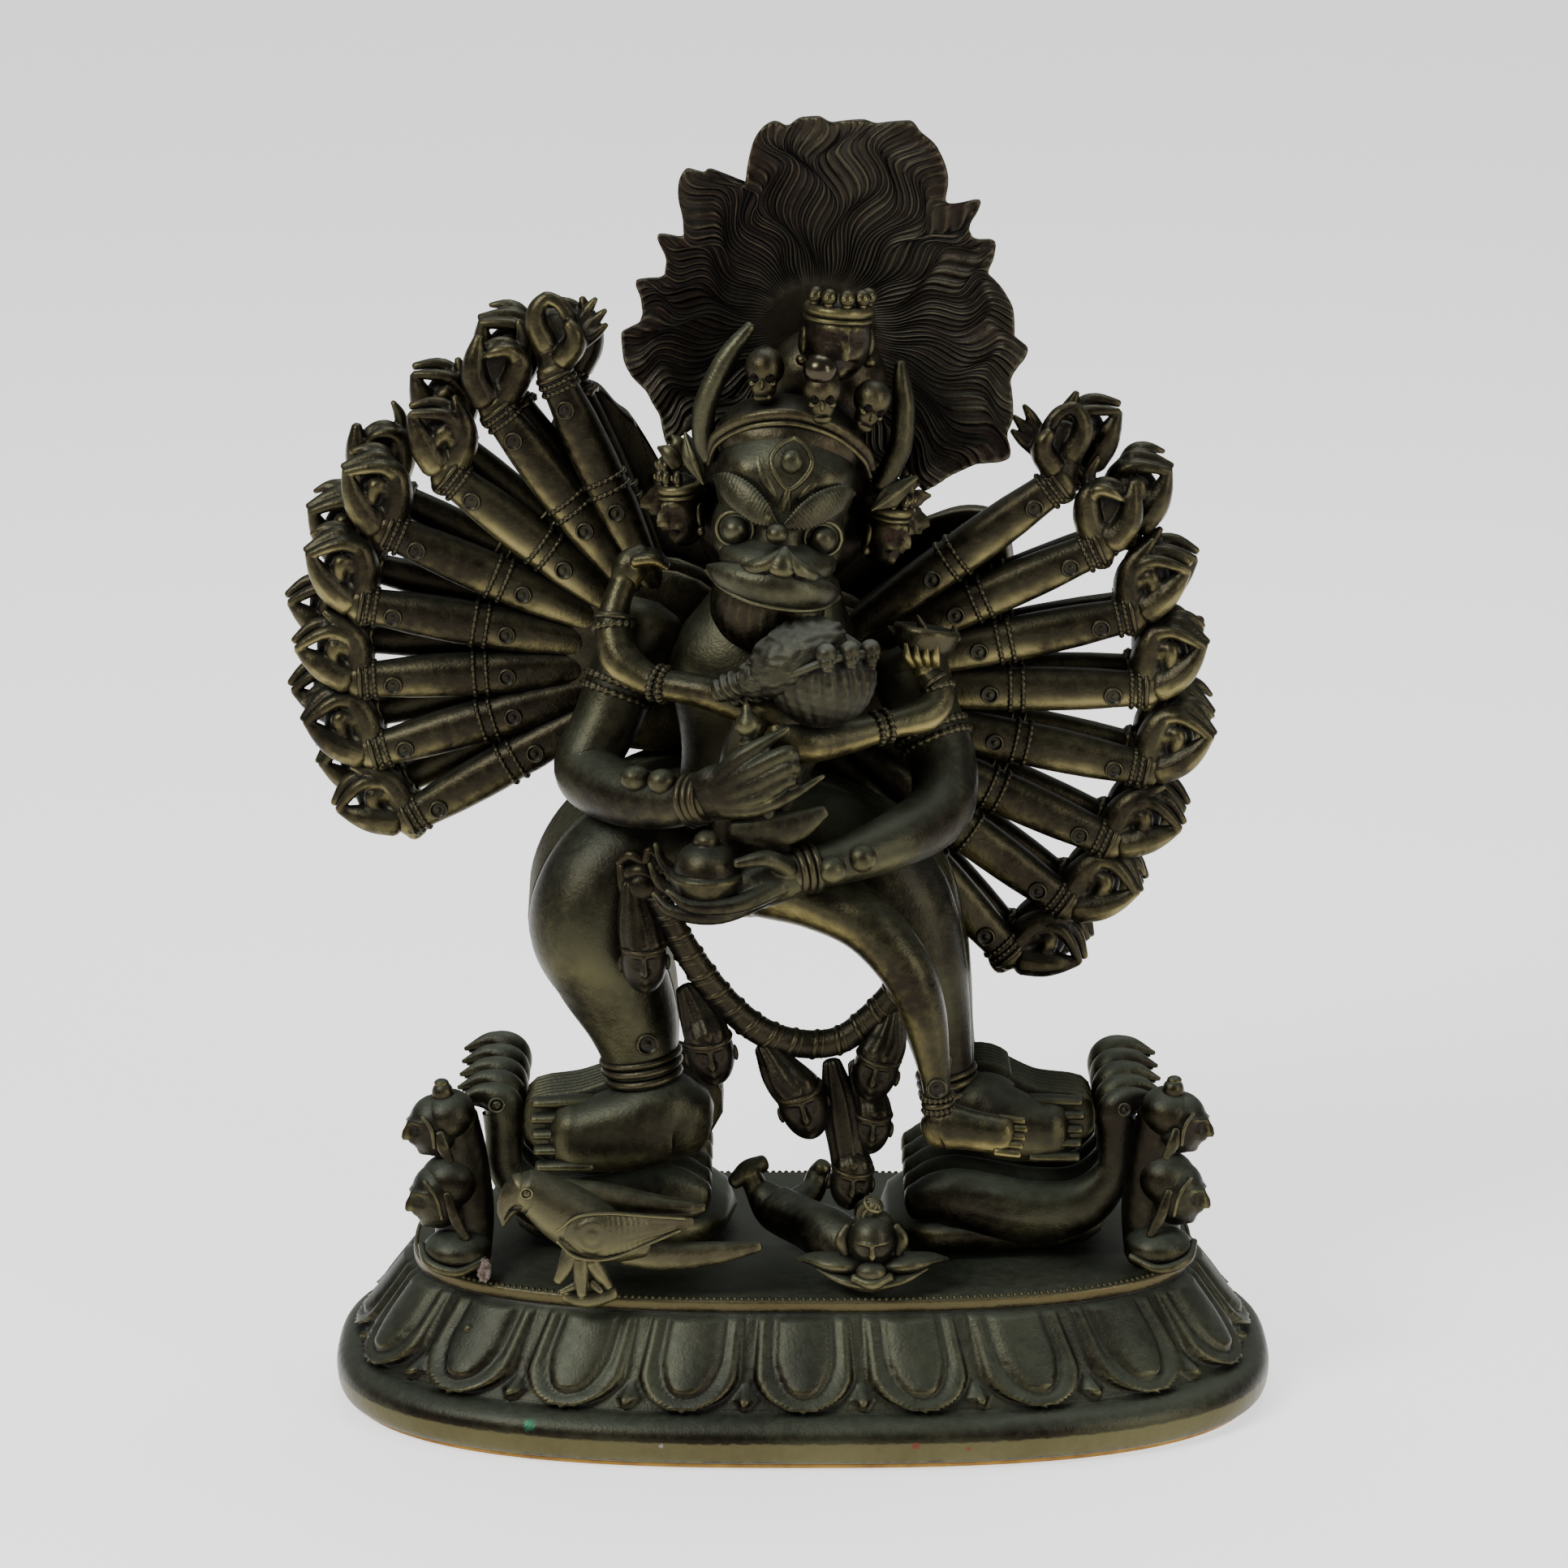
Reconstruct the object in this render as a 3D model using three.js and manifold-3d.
// A cast bronze Vajrabhairava with his consort, on an oval lotus plinth, about 29 cm high.
// Millimetres, +Z up, -Y to the front, +X to the viewer's right. The origin is the middle of the underside.
// The buffalo-headed god steps to one side on eight legs a side, over birds, beasts and men. Behind his
// two embracing arms stand two fans of sixteen arms each, and a mane of flame rises behind his heads.

import * as THREE from "three";
import { mergeVertices } from "three/addons/utils/BufferGeometryUtils.js";
import Module from "manifold-3d";

const wasm = await Module();
wasm.setup();

const GAP = 0.3; // left between two castings that touch
const DEG = Math.PI / 180;

// Plinth: half width and half depth of its ovals, and its heights
const PLATE_HALF = [103, 56]; // the sealing plate let into the underside
const PLATE_THICK = 1.4;
const PLATE_COLUMNS = 24;
const FOOT_HALF = [106, 59]; // the torus at the foot
const TOP_Z = 34;
const OVAL_POWER = 2.7; // 2 is an ellipse, and more is squarer
const PETALS = 20;
const COLUMNS_A_PETAL = 4;

// Fans of arms. Each side has a hub, and the angles above the horizontal of its highest and lowest arm.
const ARMS = 8; // on each side of a fan
const FRONT_FAN = {
  depth: 9,
  thick: 5.6,
  bar: 4, // half the thickness of the bar between the two hubs
  sides: [
    { hub: [-25.2, 166], out: -1, high: 64, low: -30, elbow: 42, wrist: 67 },
    { hub: [-7.2, 159.5], out: 1, high: 36, low: -49, elbow: 51, wrist: 76 },
  ],
};
const REAR_FAN = {
  depth: 17.6,
  thick: 4.9,
  bar: 4.8,
  sides: [
    { hub: [-25.2, 167], out: -1, high: 67, low: -26, elbow: 48, wrist: 72 },
    { hub: [-7.2, 160.5], out: 1, high: 39, low: -45, elbow: 57, wrist: 81 },
  ],
};
const ARM_FLAT = 0.86; // an arm's depth, as a share of its width
const BAR_WIDE = 13;
const PALM = 10; // from the wrist to the root of the fingers
const WRIST_BEND = 12; // degrees by which a hand turns up from its arm
const FAN_FRONT = 4.6; // how far back the god's own body reaches, where the front fan lies against it
const HIDE_DEPTH = [21.7, 25]; // the hide behind the rear fan, front and back

// Mane of flame: how far its jagged edge reaches from the middle, at angles clockwise from the top
const MANE_MIDDLE = [3.6, 240];
const MANE_DEPTH = [6, 14];
const MANE_EDGE = [
  [-109, 36.5], [-94, 43], [-83, 42.6], [-81, 39], [-70, 42], [-63, 37], [-56, 42], [-45, 42.7],
  [-36, 46.3], [-32, 44.2], [-25, 36.6], [-21, 42], [-10, 47.5], [-8, 45.9], [-4, 47.8], [2, 47.4],
  [3, 45.8], [13, 48], [14.5, 46.6], [24, 51], [33, 47.5], [40, 39.5], [49, 46.4], [52, 40.5],
  [60, 44], [67, 39.4], [74, 41.4], [88, 43.2], [90, 45.8], [99, 42.2], [108, 44.6], [119, 48.1],
  [127, 43.1], [146, 39.3],
];

const TRUNK = {
  joints: [[-16, -8, 124], [-13, -9, 146], [-8, -8, 168], [-5, -8, 184]],
  radii: [17, 14, 22, 15],
};

// Legs: the front one of each stack, from hip to ankle, and the side view of the stack behind it
const LEGS = 8; // a side
const LEG_PITCH = 4.4;
const LEG_GROOVE = 1.1; // how deep the edge falls back between two legs
const STACK_FRONT = -6.4;
const LEFT_LEG = {
  joints: [
    [-22, -8, 129], [-39, -14, 126.5], [-47.5, -19, 117.5], [-43, -18, 103], [-37, -17, 91], [-35, -17, 74],
  ],
  radii: [13, 14, 14, 13.2, 9.6, 7.4],
  stack: [
    [-18, 141], [-38, 140.5], [-54, 132], [-61, 119], [-43, 90], [-41, 79], [-57, 76],
    [-61, 66], [-57, 59], [-26, 58], [-20, 64], [-28, 90], [-32, 116], [-14, 121],
  ],
};
const RIGHT_LEG = {
  joints: [[-4, -6, 130], [11, -8, 125], [22.5, -10, 115], [26, -12, 100], [29.5, -12, 88], [32, -12, 73]],
  radii: [13, 12.6, 11.4, 9.6, 7.4, 6],
  stack: [
    [-4, 135], [6, 131], [16, 121], [26, 110], [35, 97], [37, 84], [60, 75],
    [64, 68], [61, 60], [34, 59], [28, 66], [25, 84], [18, 104], [-6, 118],
  ],
};

// Embracing arms, from shoulder to wrist: the god's left one with the cup, his right one with the knife
const ARM_RADII = [8.4, 7.2, 7, 6.2, 4.4];
const KNIFE_ARM = [[-37, -6, 174], [-42, -10, 160], [-48.5, -16, 146], [-36, -30, 145], [-22, -39, 147]];
const CUP_ARM = [[24, -5, 166], [29, -10, 154], [31, -18, 142], [16, -35, 137], [-1, -42, 132]];
const KNIFE_HAND = { at: [-22, -40, 147], turn: 68 };
const CUP_HAND = { at: [-1, -43, 131.5], turn: -96 };

// Consort, seen from behind: her trunk, head, arms and the leg that stands out along his
const HER_TRUNK = { joints: [[-10, -24, 127], [-9, -25, 147], [-4, -28, 163]], radii: [11, 8, 10] };
const HER_HEAD = { at: [3.5, -39, 173], half: [13, 10.5, 11], lean: -14 };
const HER_LEFT_ARM = {
  joints: [[-9, -29, 167], [-28, -26, 168], [-36, -20, 174], [-34, -12, 194]],
  radii: [5, 4.6, 4.4, 3.2],
};
const HER_RIGHT_ARM = {
  joints: [[3, -29, 163], [22, -26, 160], [28, -19, 168], [22, -15, 178]],
  radii: [5, 4.6, 4.2, 3.6],
};
const HER_LEG = {
  joints: [[-8, -27, 126], [6, -31, 121], [17, -37, 114.5], [24.5, -40, 99], [28.8, -41, 77]],
  radii: [8, 6.6, 7, 5.2, 3.4],
};

// Garland of heads: a rope, and the knots and heads of what hangs from it
const ROPE = [[-31, -33, 129], [-22, -30, 106], [-7, -27, 90], [4, -26, 86], [16, -26, 95]];
const ROPE_RADIUS = 3.4;
const HUNG_HEADS = [
  { knot: [-31, -33, 125], head: [-34.5, -33, 107] },
  { knot: [-23, -31, 106], head: [-20, -31, 87] },
  { knot: [-8, -28, 90], head: [-1, -29, 73] },
  { knot: [17, -24, 98], head: [16, -25, 82] },
  { knot: [12, -27, 82], head: [16, -28, 67.5] },
  { knot: [6, -28, 82], head: [10, -29, 57] },
];

// What each stack of feet treads on: long-necked birds one behind the other, and two figures at the end
const BIRDS = 5; // a side
const BIRD_PITCH = 9;
const UNDER_LEFT = { neck: -66, inner: -26, out: -1, front: -13, figures: [-78.5, -22] };
const UNDER_RIGHT = { neck: 70, inner: 24, out: 1, front: -16, figures: [81, -20] };

// Finishes
const OLIVE_BRONZE = { color: 0x4a4733, roughness: 0.42, metalness: 0.85 };
const DARK_BRONZE = { color: 0x332e25, roughness: 0.5, metalness: 0.8 };
const WORN_BRONZE = { color: 0x5c5636, roughness: 0.36, metalness: 0.9 };
const OCHRE_COPPER = { color: 0x8a6420, roughness: 0.6, metalness: 0.6 };

const v3 = (p) => new THREE.Vector3(...p);

// A closed three.js geometry as a solid, its faces turned outwards.
function solid(geometry) {
  const bare = geometry.clone();
  bare.deleteAttribute("normal");
  bare.deleteAttribute("uv");
  const merged = mergeVertices(bare, 1e-4);
  const corners = [];
  for (let i = 0; i < merged.index.count; i += 3) {
    const [a, b, c] = [0, 1, 2].map((k) => merged.index.getX(i + k));
    if (a !== b && b !== c && a !== c) corners.push(a, b, c);
  }
  const make = (order) =>
    new wasm.Manifold(
      new wasm.Mesh({
        numProp: 3,
        vertProperties: new Float32Array(merged.attributes.position.array),
        triVerts: new Uint32Array(order),
      }),
    );
  const made = make(corners);
  return made.volume() > 0 ? made : make(corners.reverse());
}

const join = (solids) => solids.reduce((all, next) => all.add(next));

// The biggest body of a solid, without the slivers that a cut leaves.
const biggest = (made) => made.decompose().sort((a, b) => b.volume() - a.volume())[0];

// One solid cut back from others, with the gap left all round.
function clearOf(made, others) {
  const shifts = [[1, 0, 0], [-1, 0, 0], [0, 1, 0], [0, -1, 0], [0, 0, 1], [0, 0, -1]];
  let cut = made;
  for (const other of others) {
    if (made.intersect(other).isEmpty()) continue;
    for (const s of shifts) cut = cut.subtract(other.translate(s.map((d) => d * GAP)));
  }
  return biggest(cut);
}

function meshOf(name, made, finish) {
  const data = made.getMesh();
  const position = new Float32Array(data.numVert * 3);
  for (let i = 0; i < data.numVert; i++)
    position.set(data.vertProperties.subarray(i * data.numProp, i * data.numProp + 3), i * 3);
  const geometry = new THREE.BufferGeometry()
    .setAttribute("position", new THREE.BufferAttribute(position, 3))
    .setIndex(new THREE.BufferAttribute(data.triVerts, 1));
  geometry.computeVertexNormals();
  const mesh = new THREE.Mesh(geometry, new THREE.MeshStandardMaterial(finish));
  mesh.name = name;
  return mesh;
}

// A limb: rings of the given radii spread along a smooth curve through its joints, with a blunt point at
// each end. "flat" thins it in the direction nearest to "thin".
function limb(joints, radii, { sides = 6, flat = 1, thin = [0, 1, 0] } = {}) {
  const curve = new THREE.CatmullRomCurve3(joints.map(v3), false, "centripetal");
  const last = radii.length - 1;
  const rings = [
    { t: 0, r: 0, push: -0.5 * radii[0] },
    ...radii.map((r, i) => ({ t: i / last, r, push: 0 })),
    { t: 1, r: 0, push: 0.5 * radii[last] },
  ];
  const geometry = new THREE.LatheGeometry(rings.map((ring, i) => new THREE.Vector2(ring.r, i)), sides);
  const p = geometry.attributes.position;
  for (let i = 0; i < p.count; i++) {
    const ring = rings[Math.round(p.getY(i))];
    const along = curve.getTangent(ring.t);
    const deep = v3(thin).addScaledVector(along, -along.dot(v3(thin))).normalize();
    const wide = new THREE.Vector3().crossVectors(along, deep);
    const at = curve
      .getPoint(ring.t)
      .addScaledVector(along, ring.push)
      .addScaledVector(wide, p.getX(i))
      .addScaledVector(deep, p.getZ(i) * flat);
    p.setXYZ(i, at.x, at.y, at.z);
  }
  return solid(geometry);
}

// An egg-shaped lump, turned by angles about X, Y and Z.
function egg(at, half, turn = [0, 0, 0], [around, down] = [7, 5]) {
  const shape = new THREE.SphereGeometry(1, around, down);
  shape.rotateX(Math.PI / 2);
  shape.scale(...half);
  const spin = new THREE.Quaternion().setFromEuler(new THREE.Euler(...turn.map((a) => a * DEG)));
  return solid(shape.applyMatrix4(new THREE.Matrix4().compose(v3(at), spin, new THREE.Vector3(1, 1, 1))));
}

// A flat outline in the X-Z plane, thickened from one depth to another.
function slab(outline, [near, far]) {
  const shape = new THREE.Shape(outline.map(([x, z]) => new THREE.Vector2(x, z)));
  const geometry = new THREE.ExtrudeGeometry(shape, { depth: far - near, bevelEnabled: false });
  geometry.rotateX(Math.PI / 2);
  geometry.translate(0, far, 0);
  return solid(geometry);
}

// A smooth closed outline through a few points.
function smooth(points, count) {
  const loop = new THREE.CatmullRomCurve3(points.map(([x, z]) => new THREE.Vector3(x, 0, z)), true);
  return loop.getPoints(count).slice(0, -1).map((p) => [p.x, p.z]);
}

// The plinth's oval at an angle round it.
function oval([a, b], angle) {
  const [c, s] = [Math.cos(angle), Math.sin(angle)];
  const reach = (Math.abs(c) ** OVAL_POWER + Math.abs(s) ** OVAL_POWER) ** (-1 / OVAL_POWER);
  return [a * reach * c, b * reach * s];
}

// The angles that part an oval into equal lengths, from the middle of its front.
function evenAngles(half, count) {
  const fine = 1440;
  const marks = [0];
  for (let i = 1; i <= fine; i++) {
    const [p, q] = [i - 1, i].map((k) => oval(half, (k / fine) * 2 * Math.PI - Math.PI / 2));
    marks.push(marks[i - 1] + Math.hypot(q[0] - p[0], q[1] - p[1]));
  }
  return Array.from({ length: count + 1 }, (_, i) => {
    const k = marks.findIndex((m) => m >= (marks[fine] * i) / count - 1e-9);
    return (k / fine) * 2 * Math.PI - Math.PI / 2;
  });
}

// A solid of stacked ovals. A level has a height, how far it stands in from "half", and how far the
// petals stand out there.
function ovalStack(half, levels, columns) {
  const rows = levels.length + 2;
  const profile = Array.from({ length: rows }, (_, i) => new THREE.Vector2(i % (rows - 1) ? 1 : 0, i));
  const geometry = new THREE.LatheGeometry(profile, columns);
  const angles = evenAngles(half, columns);
  const p = geometry.attributes.position;
  for (let i = 0; i < p.count; i++) {
    const [column, row] = [Math.floor(i / rows), i % rows];
    const level = levels[Math.min(Math.max(row - 1, 0), levels.length - 1)];
    const swell = Math.abs(Math.cos((Math.PI * column * PETALS) / columns)) ** 0.6;
    const inset = level.inset - (level.petal ?? 0) * swell;
    const [x, y] = oval([half[0] - inset, half[1] - inset], angles[column]);
    const onAxis = row % (rows - 1) === 0;
    p.setXYZ(i, onAxis ? 0 : x, onAxis ? 0 : y, level.z);
  }
  return solid(geometry);
}

// The plinth: a torus, a cavetto, one row of petals pointing down, and a flat top with a raised rim.
function plinth() {
  const levels = [
    { z: PLATE_THICK + GAP, inset: 2.4 },
    { z: 5, inset: 0.2 },
    { z: 11, inset: 0.3 },
    { z: 15.4, inset: 9, petal: 3.4 },
    { z: 23, inset: 14.6, petal: 3.8 },
    { z: 30.4, inset: 18.6 },
    { z: TOP_Z, inset: 17.5 },
  ];
  return ovalStack(FOOT_HALF, levels, PETALS * COLUMNS_A_PETAL);
}

function sealingPlate() {
  const levels = [{ z: 0, inset: 0 }, { z: PLATE_THICK, inset: 0 }];
  return ovalStack(PLATE_HALF, levels, PLATE_COLUMNS);
}

// The thumb and a finger of a hand, which meet in a ring. The wrist is at the origin, the fingers point up,
// the palm faces the front and the thumb is on the side of -X.
function ring() {
  const joints = [[-1, -0.6, 3], [-6.6, -2, 10.5], [-3.4, -2.8, 17.5], [1, -0.6, 8]];
  return limb(joints, [1.8, 1.5, 1.5, 1.8], { sides: 3 });
}

// A finger that stands up behind the ring.
const finger = () => limb([[1, 0.4, 7], [1.4, 1, 20]], [2.2, 1.1], { sides: 3 });

function hand() {
  const palm = limb([[0, 0, -2], [0.4, 0, 9]], [3.4, 4.4], { sides: 5, flat: 0.6 });
  return join([palm, ring(), finger()]);
}

// A solid carried from the origin to a place, turned in the X-Z plane from straight up towards +X.
function placed(made, at, turn, mirror) {
  const pose = new THREE.Matrix4().makeRotationY(turn * DEG).setPosition(...at);
  if (mirror) pose.multiply(new THREE.Matrix4().makeScale(-1, 1, 1));
  return made.transform(pose.elements);
}

// One fan: its arms spread from a hub on each side, joined by a bar behind the god's back.
function armFan({ depth, thick, bar, sides, fingers, facets }) {
  const parts = [];
  for (const { hub, out, high, low, elbow, wrist } of sides) {
    for (let i = 0; i < ARMS; i++) {
      const up = (high + ((low - high) * i) / (ARMS - 1)) * DEG;
      const at = (reach) => [hub[0] + out * reach * Math.cos(up), depth, hub[1] + reach * Math.sin(up)];
      const bent = (90 - WRIST_BEND) * DEG - up;
      const palm = at(wrist).map((p, k) => p + [out * Math.sin(bent), 0, Math.cos(bent)][k] * PALM);
      const radii = [0.5, 0.84, 0.66, 0.8].map((share) => share * thick);
      parts.push(limb([at(26), at(elbow), at(wrist), palm], radii, { sides: facets, flat: ARM_FLAT }));
      parts.push(...fingers.map((make) => placed(make(), at(wrist), (out * bent) / DEG, out < 0)));
    }
    parts.push(egg([hub[0] + out * 9, depth, hub[1]], [24, thick * 0.72, 24], [0, 0, 0], [8, 3]));
  }
  const ends = sides.map(({ hub }) => [hub[0], depth, hub[1]]);
  parts.push(limb(ends, [BAR_WIDE, BAR_WIDE], { sides: 4, flat: bar / BAR_WIDE }));
  return join(parts);
}

// The elephant hide stretched out behind the rear fan.
function hide() {
  const corners = [
    [-60, 196], [-52, 213], [-41, 213], [-33, 197], [-12, 184], [22, 194], [44, 196], [46, 168],
    [30, 146], [-12, 143], [-44, 144], [-63, 141], [-60, 168],
  ];
  return slab(smooth(corners, 26), HIDE_DEPTH);
}

// The mane: a screen with a jagged edge, its middle swelling forward to the crown of heads.
function mane() {
  const edge = MANE_EDGE.map(([angle, reach]) => [
    MANE_MIDDLE[0] + reach * Math.sin(angle * DEG),
    MANE_MIDDLE[1] + reach * Math.cos(angle * DEG),
  ]);
  return join([
    slab([...edge, [12, 196], [-16, 200]], MANE_DEPTH),
    egg([-2, 2, 219], [21, 10, 23], [0, 0, 0], [8, 5]),
  ]);
}

// A small wrathful head. "look" turns it in plan, from facing front towards +X.
function smallHead(at, look, size = 1) {
  const parts = [
    egg([0, 0, 0], [6.2, 6.8, 8.2], [0, 0, 0], [6, 4]),
    limb([[0, -4.6, 5], [0, -6.6, -2.4]], [3, 2.2], { sides: 3 }),
  ];
  const pose = new THREE.Matrix4()
    .makeTranslation(...at)
    .multiply(new THREE.Matrix4().makeRotationZ(look * DEG))
    .multiply(new THREE.Matrix4().makeScale(size, size, size));
  return join(parts).transform(pose.elements);
}

const skull = (at, size = 1) => egg(at, [3 * size, 3 * size, 4 * size], [0, 0, 0], [5, 4]);

// The buffalo's head: skull, brow, eyes, bill-like muzzle, jaw, horns, ears and a crown of skulls.
function buffaloHead() {
  const horns = [
    limb([[-18.4, -15, 214], [-21.4, -13, 231], [-12, -13, 246]], [3.8, 3.2, 1.2], { sides: 5 }),
    limb([[13.5, -13, 209], [22.4, -12, 223], [20.4, -12, 238]], [4, 3.2, 1.2], { sides: 5 }),
  ];
  const ears = [
    limb([[-18, -14, 209], [-25.5, -12, 217], [-24, -11, 225]], [3, 2.8, 0.8], { sides: 4 }),
    limb([[9, -13, 205], [20, -11, 211], [25.6, -10, 216]], [3, 2.8, 0.8], { sides: 4 }),
  ];
  return join([
    egg([-4.5, -17, 208], [17, 15, 17.5], [0, 0, 0], [8, 6]),
    limb([[-17, -25, 214.5], [-4, -34, 219], [11, -27, 212]], [4, 6.5, 4], { sides: 5 }),
    egg([-14.8, -30, 206.3], [3.6, 3.4, 3.4], [0, 0, 0], [5, 4]),
    egg([3.6, -30, 204.6], [3.6, 3.4, 3.4], [0, 0, 0], [5, 4]),
    limb([[-19.5, -31, 196], [-6.2, -40, 194.6], [8, -31, 192.4]], [2.8, 5.2, 2.8], { sides: 6, flat: 0.9 }),
    limb([[-5, -26, 201], [-6, -38, 197]], [6, 5], { sides: 5 }),
    egg([-7, -22, 184], [13, 11, 10], [0, 0, 0], [7, 4]),
    limb([[-17, -20, 218], [-2, -24, 224.5], [16, -18, 215]], [3, 3.4, 3], { sides: 4 }),
    skull([-9, -22, 228.5], 1.25),
    skull([3.4, -23.5, 227.6], 1.3),
    skull([12.6, -20, 224], 1.25),
    ...horns,
    ...ears,
  ]);
}

// Three fierce faces on each side of the buffalo's, and one more above its crown.
function otherHeads() {
  const rows = [0, 1, 2];
  return [
    ...rows.map((i) => smallHead([-24 + i * 2, -9 + i * 5, 203 - i * 0.6], -55 - i * 30, 0.95)),
    ...rows.map((i) => smallHead([15.5 - i * 2, -8 + i * 5, 200 - i * 0.6], 55 + i * 30, 0.95)),
    smallHead([9.5, -9, 236.5], 18, 1.15),
    skull([3.6, -9, 245], 1.1),
    skull([9.8, -11.5, 246.5], 1.1),
    skull([16, -9, 244], 1.1),
  ];
}

// The stack of legs behind the front one: one side view, with a groove in its edge between two legs.
function legStack(outline, front) {
  const behind = LEGS - 1;
  const inner = outline.map(([x, z], i) => {
    const [p, n] = [outline.at(i - 1), outline[(i + 1) % outline.length]];
    const run = Math.hypot(n[0] - p[0], n[1] - p[1]);
    return [x + ((n[1] - p[1]) / run) * LEG_GROOVE, z - ((n[0] - p[0]) / run) * LEG_GROOVE];
  });
  const shape = new THREE.Shape(outline.map(([x, z]) => new THREE.Vector2(x, z)));
  const depth = behind * LEG_PITCH;
  const geometry = new THREE.ExtrudeGeometry(shape, { depth, steps: behind * 2, bevelEnabled: false });
  const at = geometry.attributes.position;
  for (let i = 0; i < at.count; i++) {
    const row = Math.round((at.getZ(i) / depth) * behind * 2);
    const k = outline.findIndex(([x, z]) => Math.hypot(at.getX(i) - x, at.getY(i) - z) < 1e-3);
    const [x, z] = row % 2 ? outline[k] : inner[k];
    at.setXYZ(i, x, front + at.getZ(i), z);
  }
  return solid(geometry);
}

// A bare foot from the heel to the root of its toes. It leans on its outer edge, so that its five toes
// climb away from the front, and "tilt" is how steeply.
function foot(heel, ball, width, height, tilt) {
  const toward = v3(ball).sub(v3(heel)).normalize();
  const back = new THREE.Vector3(-toward.y, toward.x, 0).normalize().multiplyScalar(Math.sign(toward.x));
  const across = back.multiplyScalar(Math.cos(tilt * DEG)).add(new THREE.Vector3(0, 0, Math.sin(tilt * DEG)));
  const toes = [-2, -1, 0, 1, 2].map((k) => {
    const root = v3(ball).addScaledVector(across, (k * width * 2) / 5);
    const tip = root.clone().addScaledVector(toward, height * 0.9 - Math.abs(k - 1) * 0.4);
    return limb([root.toArray(), tip.toArray()], [width / 3.9, width / 4.6], { sides: 3 });
  });
  const thin = new THREE.Vector3().crossVectors(toward, across).toArray();
  const sole = [heel, heel.map((h, i) => (h + ball[i]) / 2 + (i === 2 ? 1 : 0)), ball];
  return join([limb(sole, [height, width * 0.92, width], { sides: 7, flat: height / width, thin }), ...toes]);
}

function god() {
  const legs = [
    limb(LEFT_LEG.joints, LEFT_LEG.radii, { sides: 7 }),
    foot([-28, -17, 67], [-53, -21, 66.5], 10, 8.4, 62),
    legStack(LEFT_LEG.stack, STACK_FRONT),
    limb(RIGHT_LEG.joints, RIGHT_LEG.radii, { sides: 7 }),
    foot([35, -13, 66], [57, -17, 66], 8.6, 7, 55),
    legStack(RIGHT_LEG.stack, STACK_FRONT),
  ];
  const body = join([
    limb(TRUNK.joints, TRUNK.radii, { sides: 9, flat: 0.62 }),
    limb([[-36, -6, 173], [-8, -8, 176], [23, -4, 168]], [8.5, 12, 8.5], { sides: 7 }),
    limb([[-6, -10, 180], [-4.5, -12, 200]], [12, 14], { sides: 8 }),
  ]);
  const arms = [
    limb(KNIFE_ARM, ARM_RADII),
    placed(hand(), KNIFE_HAND.at, KNIFE_HAND.turn, false),
    limb(CUP_ARM, ARM_RADII),
    placed(hand(), CUP_HAND.at, CUP_HAND.turn, true),
  ];
  const head = [buffaloHead(), ...otherHeads(), mane()];
  const front = join([body, ...arms]).trimByPlane([0, -1, 0], -FAN_FRONT);
  return join([front, ...legs, flayingKnife(), skullCup(), ...head]);
}

// The flaying knife: a crescent blade under a jewelled grip.
function flayingKnife() {
  return join([
    limb([[-22, -42, 142], [-8, -45, 137], [5, -42, 142]], [1.6, 4.6, 1.2], { sides: 5, flat: 0.5 }),
    limb([[-13.5, -42, 140], [-13, -42, 160], [-12.6, -42, 165]], [2, 1.8, 3], { sides: 5 }),
  ]);
}

// The skull cup, heaped to a point.
function skullCup() {
  return join([
    egg([-21.5, -45, 132], [8, 8, 6], [0, 0, 0], [8, 5]),
    limb([[-21.5, -45, 135], [-21.5, -45, 141]], [5.4, 1.4], { sides: 7 }),
  ]);
}

function consort() {
  return join([
    limb(HER_TRUNK.joints, HER_TRUNK.radii, { sides: 7, flat: 0.6 }),
    egg(HER_HEAD.at, HER_HEAD.half, [0, HER_HEAD.lean, 0], [8, 6]),
    limb(HER_LEFT_ARM.joints, HER_LEFT_ARM.radii, { sides: 5 }),
    limb(HER_RIGHT_ARM.joints, HER_RIGHT_ARM.radii, { sides: 5 }),
    limb(HER_LEG.joints, HER_LEG.radii),
    foot([30, -41, 75.5], [43, -44, 74.4], 4.4, 3.8, 50),
  ]);
}

// The garland: a rope with severed heads hung from it by their hair.
function garland() {
  const strands = HUNG_HEADS.map(({ knot, head }) => {
    const point = (share) => knot.map((k, i) => k + (head[i] - k) * share);
    return limb([knot, point(0.5), head, point(1.22)], [1.8, 3.2, 5.2, 3.6], { sides: 5 });
  });
  return join([limb(ROPE, ROPE.map(() => ROPE_RADIUS)), ...strands]);
}

// A long-necked bird lying under the feet: its body, and a neck that rises outside them and bends out.
function bird([x, y, z], inner, out) {
  const joints = [[inner, y, z], [x - out * 20, y, z - 2], [x - out * 3, y, z + 1], [x + out * 2, y, z + 12]];
  joints.push([x + out * 2, y, z + 20], [x + out * 9, y, z + 23.4]);
  return limb(joints, [5, 9, 8.4, 6.4, 4.4, 4.8, 2], { sides: 5, flat: 0.5 });
}

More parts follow.
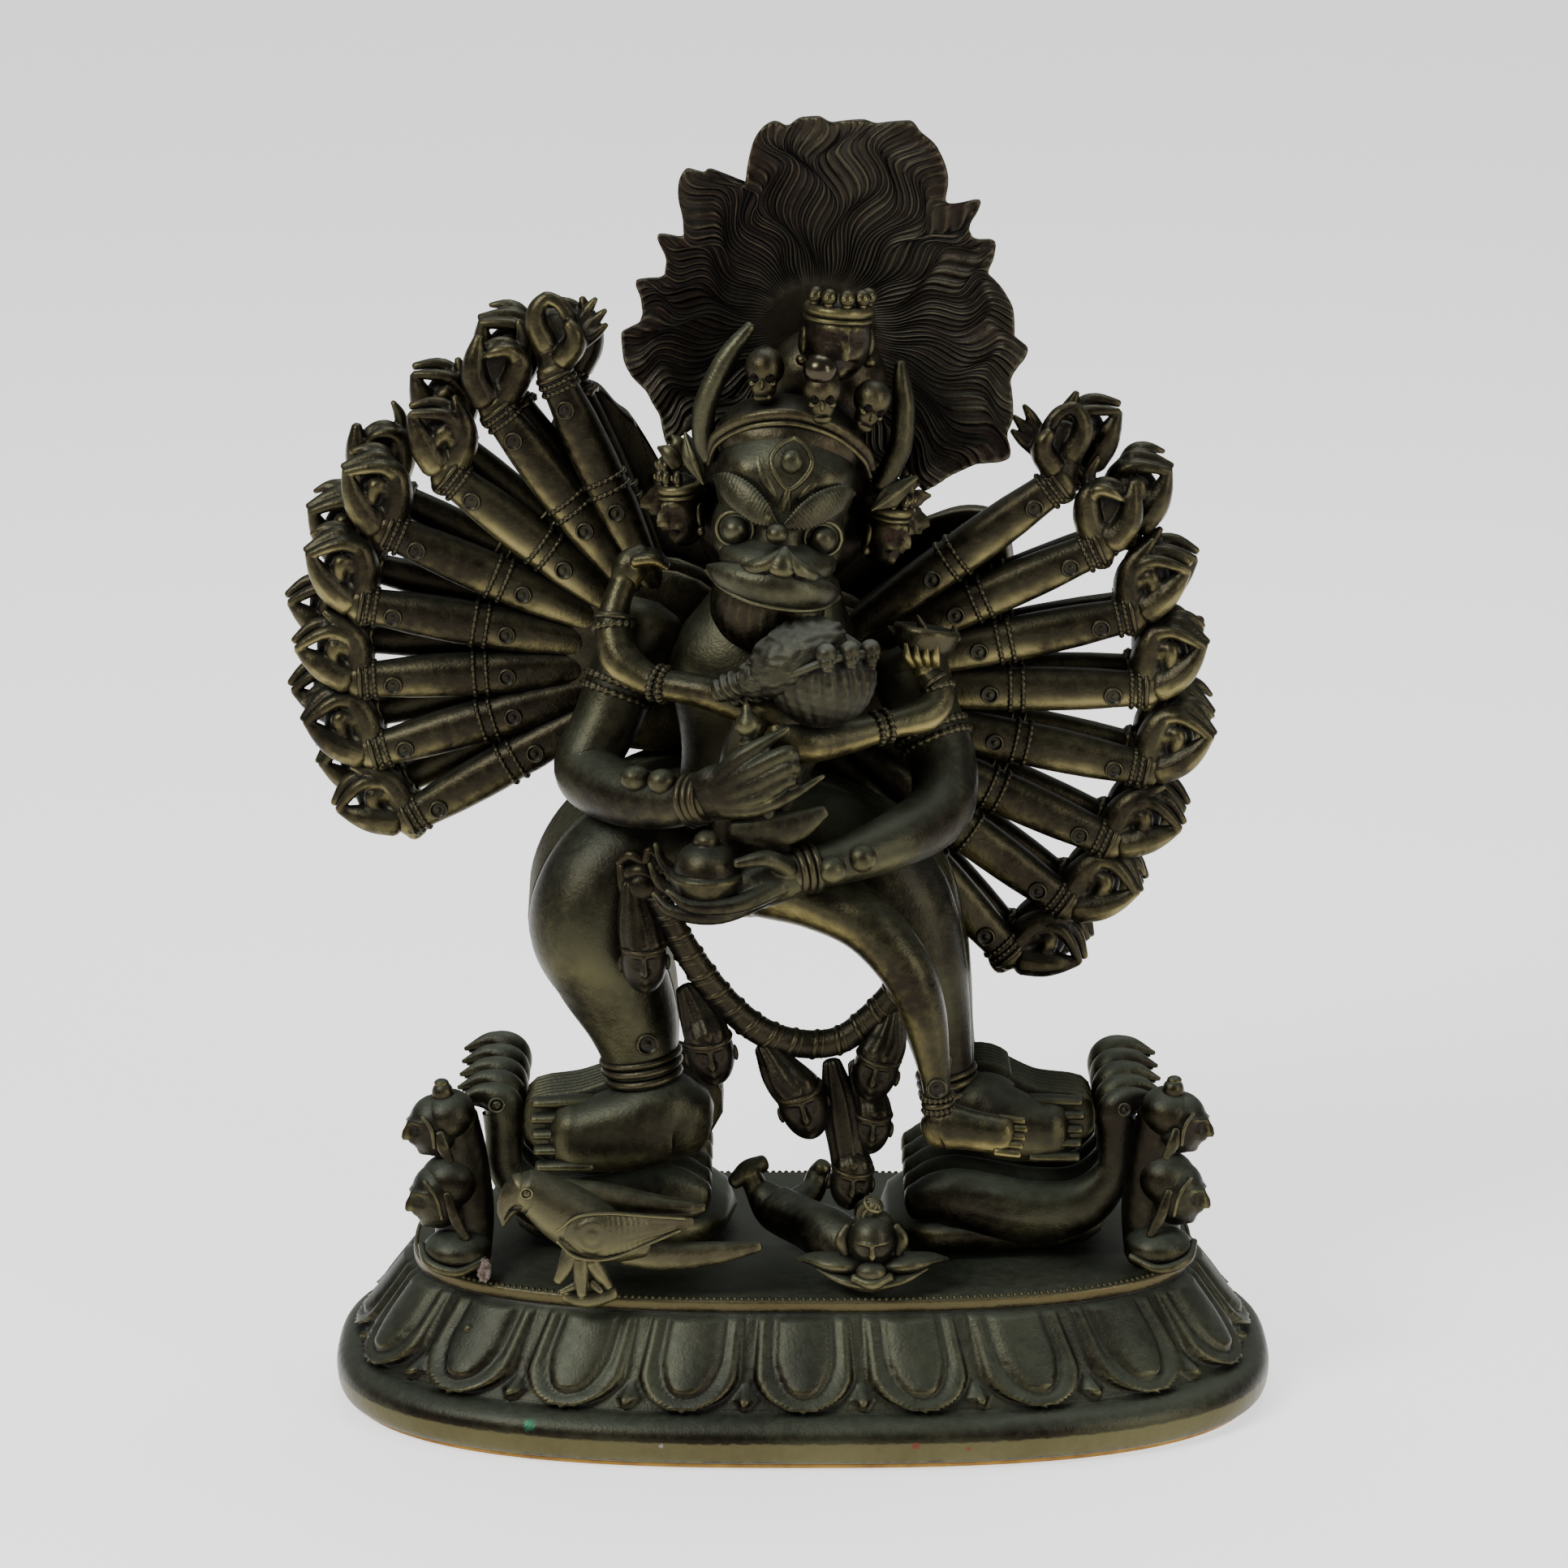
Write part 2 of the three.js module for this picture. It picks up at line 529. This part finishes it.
// Two small figures, one on the other, at an end of the plinth: a crouching body and two bowed heads.
function pair([x, y], out) {
  return [
    egg([x, y, TOP_Z + 6], [8.5, 9, 8], [0, 0, 0], [7, 5]),
    egg([x - out, y + 1, TOP_Z + 20], [8, 8, 11.5], [0, 0, 0], [8, 6]),
    egg([x + out * 5.4, y - 1, TOP_Z + 17], [5, 5.6, 6.2], [0, 0, 0], [6, 5]),
    egg([x + out * 3, y, TOP_Z + 34], [7.4, 7, 7.6], [0, 0, 0], [7, 5]),
    egg([x + out * 2, y, TOP_Z + 43], [2.8, 2.8, 2.8], [0, 0, 0], [5, 4]),
  ];
}

// A low rock that carries the birds, and the figures at its end.
function trampled({ neck, inner, out, front, figures }) {
  const birds = Array.from({ length: BIRDS }, (_, i) =>
    bird([neck, front + i * BIRD_PITCH, TOP_Z + 14.4], inner, out),
  );
  const ends = [[inner + out * 6, 5, TOP_Z + 3], [neck + out * 7, 1, TOP_Z + 3]];
  return join([limb(ends, [20, 24], { flat: 0.3, thin: [0, 0, 1] }), ...birds, ...pair(figures, out)]);
}

// The crow at the front, standing on its two feet.
function crow() {
  const back = [[-62.5, -45, 50], [-58.5, -45, 57], [-50, -44, 55], [-38, -43, 50], [-22, -42, 46]];
  return join([
    limb(back, [0.8, 5.2, 8, 6.6, 2.6], { sides: 7, flat: 0.8 }),
    limb([[-40, -42, 46], [-25, -41, 43.6], [-11, -40, 44]], [3, 3.4, 2.4], { flat: 0.45 }),
    limb([[-44, -43, 48], [-48, -43, TOP_Z + 2]], [3, 2.6], { sides: 5 }),
    limb([[-50, -43.4, 48], [-53, -43, TOP_Z + 2]], [3, 2.2], { sides: 5 }),
  ]);
}

// The man pressed flat under the god, his chin and elbows on the plinth's edge and one foot kicked up.
function proneMan() {
  const back = [[15, -31, TOP_Z + 5], [4, -18, TOP_Z + 7], [-6, -8, TOP_Z + 6], [-12, -4, TOP_Z + 12]];
  const reach = [[-1, -35.4, TOP_Z + 3.4], [15, -39, TOP_Z + 3], [31, -35.4, TOP_Z + 4.6]];
  return join([
    limb(back, [6, 8, 5, 4.4], { sides: 7 }),
    egg([15, -36, TOP_Z + 10], [6.4, 6.4, 7], [0, 0, 0], [7, 5]),
    limb([[15, -35, TOP_Z + 15], [15.4, -35, TOP_Z + 19]], [4, 3], { sides: 7 }),
    limb(reach, [1.6, 4, 1.6], { flat: 0.55, thin: [0, 0, 1] }),
  ]);
}

// What stands on the plinth stops just above its top.
const aboveTop = (made) => made.trimByPlane([0, 0, 1], TOP_Z + GAP);

const rearFan = armFan({ ...REAR_FAN, facets: 4, fingers: [finger] }).add(hide());
const frontFan = clearOf(armFan({ ...FRONT_FAN, facets: 5, fingers: [ring] }), [rearFan]);
const figure = clearOf(god(), [frontFan, rearFan]);
const embraced = clearOf(consort(), [figure, frontFan]);
const heads = clearOf(aboveTop(garland()), [figure, embraced]);
const underLeft = clearOf(aboveTop(trampled(UNDER_LEFT)), [figure, heads]);
const underRight = clearOf(aboveTop(trampled(UNDER_RIGHT)), [figure, heads, embraced]);
const blackBird = clearOf(aboveTop(crow()), [underLeft, figure]);
const man = clearOf(aboveTop(proneMan()), [underLeft, underRight, heads, figure]);

const statue = new THREE.Group();
statue.add(
  meshOf("plinth", plinth(), OLIVE_BRONZE),
  meshOf("sealing_plate", sealingPlate(), OCHRE_COPPER),
  meshOf("god", figure, DARK_BRONZE),
  meshOf("front_arm_fan", frontFan, WORN_BRONZE),
  meshOf("rear_arm_fan", rearFan, DARK_BRONZE),
  meshOf("consort", embraced, OLIVE_BRONZE),
  meshOf("head_garland", heads, DARK_BRONZE),
  meshOf("trampled_left", underLeft, OLIVE_BRONZE),
  meshOf("trampled_right", underRight, OLIVE_BRONZE),
  meshOf("crow", blackBird, WORN_BRONZE),
  meshOf("prone_man", man, OLIVE_BRONZE),
);
export default statue;
